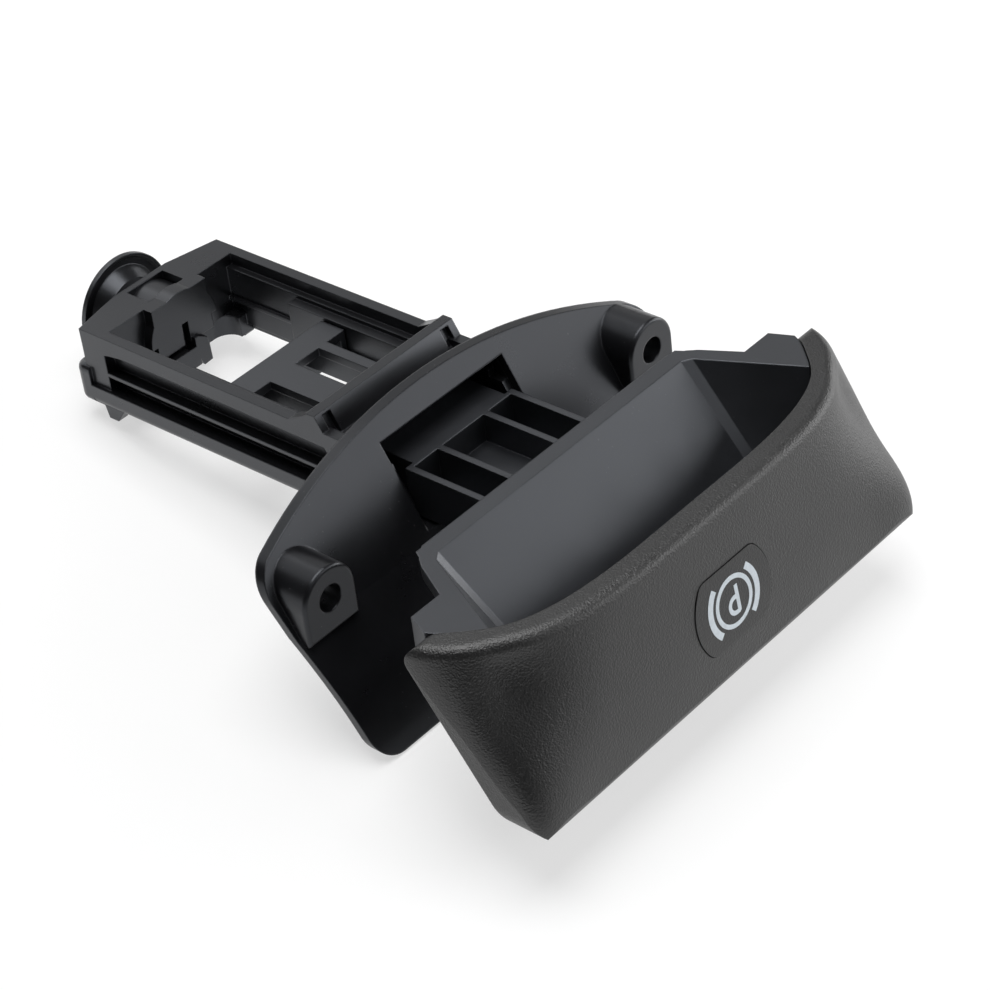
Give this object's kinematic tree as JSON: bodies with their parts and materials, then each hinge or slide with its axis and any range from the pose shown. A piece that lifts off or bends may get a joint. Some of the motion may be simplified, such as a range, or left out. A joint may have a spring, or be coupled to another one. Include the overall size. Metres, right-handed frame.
{
  "type": "parking brake control unit",
  "caption": "Dashboard parking brake handle: a scooped pull grip with a curved front cover on a flat slider, running in a guide box behind a leaning mounting flange.",
  "frame": {"origin": "midway between the two screw bosses, on the bosses' front faces", "axes": "+X along the handle's width, -Y the pull direction and the way the screws come out, +Z the side the finger pocket opens to"},
  "size_m": [0.1224, 0.1657, 0.0489],
  "materials": {
    "guide": "smooth satin black",
    "flange": "smooth semi-gloss black",
    "socket": "smooth glossy black",
    "slider": "satin black",
    "cover": "fine spark-grained black",
    "symbol": "satin black with a pale printed symbol"
  },
  "bodies": {
    "housing": {"guide_housing": "guide", "mounting_flange": "flange", "cable_socket": "socket"},
    "handle": {"handle_slider": "slider", "front_cover": "cover", "symbol_insert": "symbol"}
  },
  "joints": [
    {"name": "handle_slide", "type": "slide", "parent": "housing", "child": "handle", "axis": [0, -1, 0], "range_m": [-0.0262, 0.02]}
  ]
}
